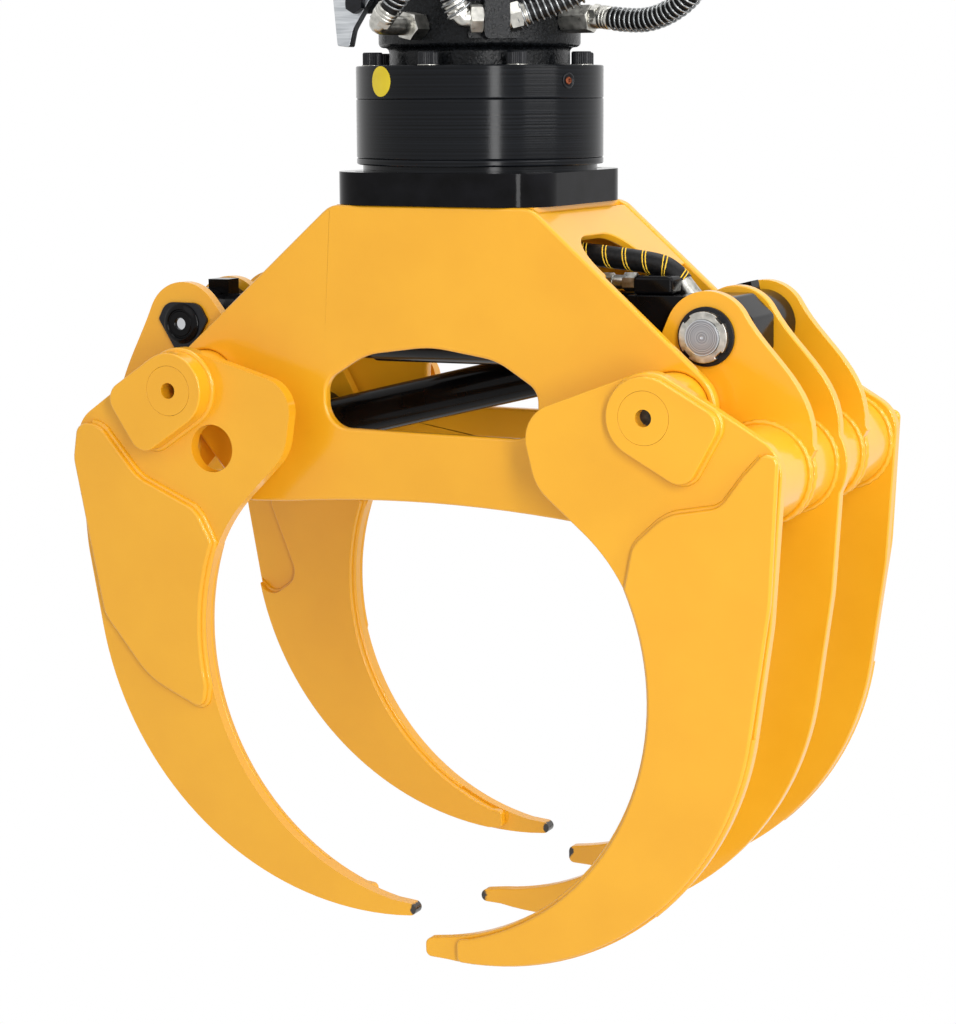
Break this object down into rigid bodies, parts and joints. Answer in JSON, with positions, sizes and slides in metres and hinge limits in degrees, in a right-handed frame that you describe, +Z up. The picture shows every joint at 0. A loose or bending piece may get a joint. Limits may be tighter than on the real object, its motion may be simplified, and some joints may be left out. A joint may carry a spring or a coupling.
{
  "type": "log grapple",
  "caption": "Hydraulic timber grab: curved tines hang from a frame under a rotator, closed by one cylinder and a link bar.",
  "frame": {"origin": "centre of the crane link-pin bore through the rotator's two ears", "axes": "+Z up along the rotator axis, +X towards the right jaw, +Y away from the front tines"},
  "size_m": [0.9655, 0.47, 1.3314],
  "materials": {
    "yellow_paint": "satin",
    "cast_iron_black": "matte",
    "housing_black": "gloss",
    "gloss_black": "gloss",
    "black_oxide": "satin",
    "bright_steel": "polished",
    "zinc": "satin",
    "bronze": "satin",
    "hose_rubber": "satin",
    "manifold_steel": "satin"
  },
  "bodies": {
    "rotator_body": {"rotator_head": "cast_iron_black", "upper_cover": "housing_black", "stator_ring": "housing_black", "lower_cover": "housing_black", "housing_screws": "black_oxide", "port_fittings": "zinc", "crane_hose_1": "hose_rubber", "crane_hose_2": "hose_rubber", "crane_hose_3": "hose_rubber", "crane_hose_4": "hose_rubber", "side_hook": "bright_steel"},
    "frame": {"rotor_shaft": "bright_steel", "rotor_ring": "housing_black", "flange_plate": "housing_black", "flange_bolts": "black_oxide", "front_cheek": "yellow_paint", "back_cheek": "yellow_paint", "frame_top_plate": "yellow_paint", "end_plates": "yellow_paint", "frame_bosses": "yellow_paint", "pin_bushes": "bronze", "hose_manifold": "manifold_steel"},
    "left_jaw": {"left_cross_tube": "yellow_paint", "left_horn_back": "yellow_paint", "left_horn_front": "yellow_paint", "left_horn_middle": "yellow_paint", "left_horn_pin": "bright_steel", "left_inner_wear_plates": "yellow_paint", "left_main_pin": "bright_steel", "left_pin_caps": "yellow_paint", "left_pin_keeper": "black_oxide", "left_pin_pads": "yellow_paint", "left_tine_back": "yellow_paint", "left_tine_front": "yellow_paint", "left_wear_plates": "yellow_paint", "link_pin": "bright_steel"},
    "right_jaw": {"right_cross_tube": "yellow_paint", "right_horn_back": "yellow_paint", "right_horn_front": "yellow_paint", "right_horn_pin": "bright_steel", "right_main_pin": "bright_steel", "right_pin_caps": "yellow_paint", "right_pin_nut": "zinc", "right_pin_pads": "yellow_paint", "right_pin_washer": "black_oxide", "right_tine_back": "yellow_paint", "right_tine_front": "yellow_paint", "right_tine_middle": "yellow_paint", "right_wear_plates": "yellow_paint"},
    "barrel": {"cylinder_barrel": "gloss_black", "cylinder_gland": "gloss_black", "cylinder_cap": "gloss_black", "port_block": "gloss_black", "port_unions": "zinc", "rod_side_pipe": "gloss_black", "pressure_hose": "hose_rubber", "return_hose": "hose_rubber"},
    "rod": {"piston_rod": "bright_steel", "piston": "bright_steel"},
    "link": {"link_bar": "gloss_black"}
  },
  "joints": [
    {"name": "rotator_spin", "type": "hinge", "parent": "rotator_body", "child": "frame", "pos_m": [0, 0, -0.327], "axis": [0, 0, 1], "continuous": true},
    {"name": "left_jaw_swing", "type": "hinge", "parent": "frame", "child": "left_jaw", "pos_m": [-0.32, 0, -0.6], "axis": [0, 1, 0], "range_deg": [-6, 55]},
    {"name": "right_jaw_swing", "type": "hinge", "parent": "frame", "child": "right_jaw", "pos_m": [0.32, 0, -0.6], "axis": [0, 1, 0], "range_deg": [-55.65, 6.12]},
    {"name": "barrel_swing", "type": "hinge", "parent": "right_jaw", "child": "barrel", "pos_m": [0.34497, 0, -0.51813], "axis": [0, 1, 0], "range_deg": [-6.33, 57.59], "deforming": ["pressure_hose", "return_hose"]},
    {"name": "link_swing", "type": "hinge", "parent": "right_jaw", "child": "link", "pos_m": [0.34497, 0, -0.51813], "axis": [0, 1, 0], "range_deg": [-6.12, 55.74]},
    {"name": "rod_slide", "type": "slide", "parent": "barrel", "child": "rod", "axis": [0.9999, 0, 0.0125], "range_m": [-0.0175, 0.159]}
  ],
  "couplings": [
    {"joint": "right_jaw_swing", "follows": "left_jaw_swing", "ratio": -1.011},
    {"joint": "barrel_swing", "follows": "left_jaw_swing", "ratio": 1.0463},
    {"joint": "link_swing", "follows": "left_jaw_swing", "ratio": 1.0125},
    {"joint": "rod_slide", "follows": "left_jaw_swing", "m_per_rad": 0.16527}
  ]
}
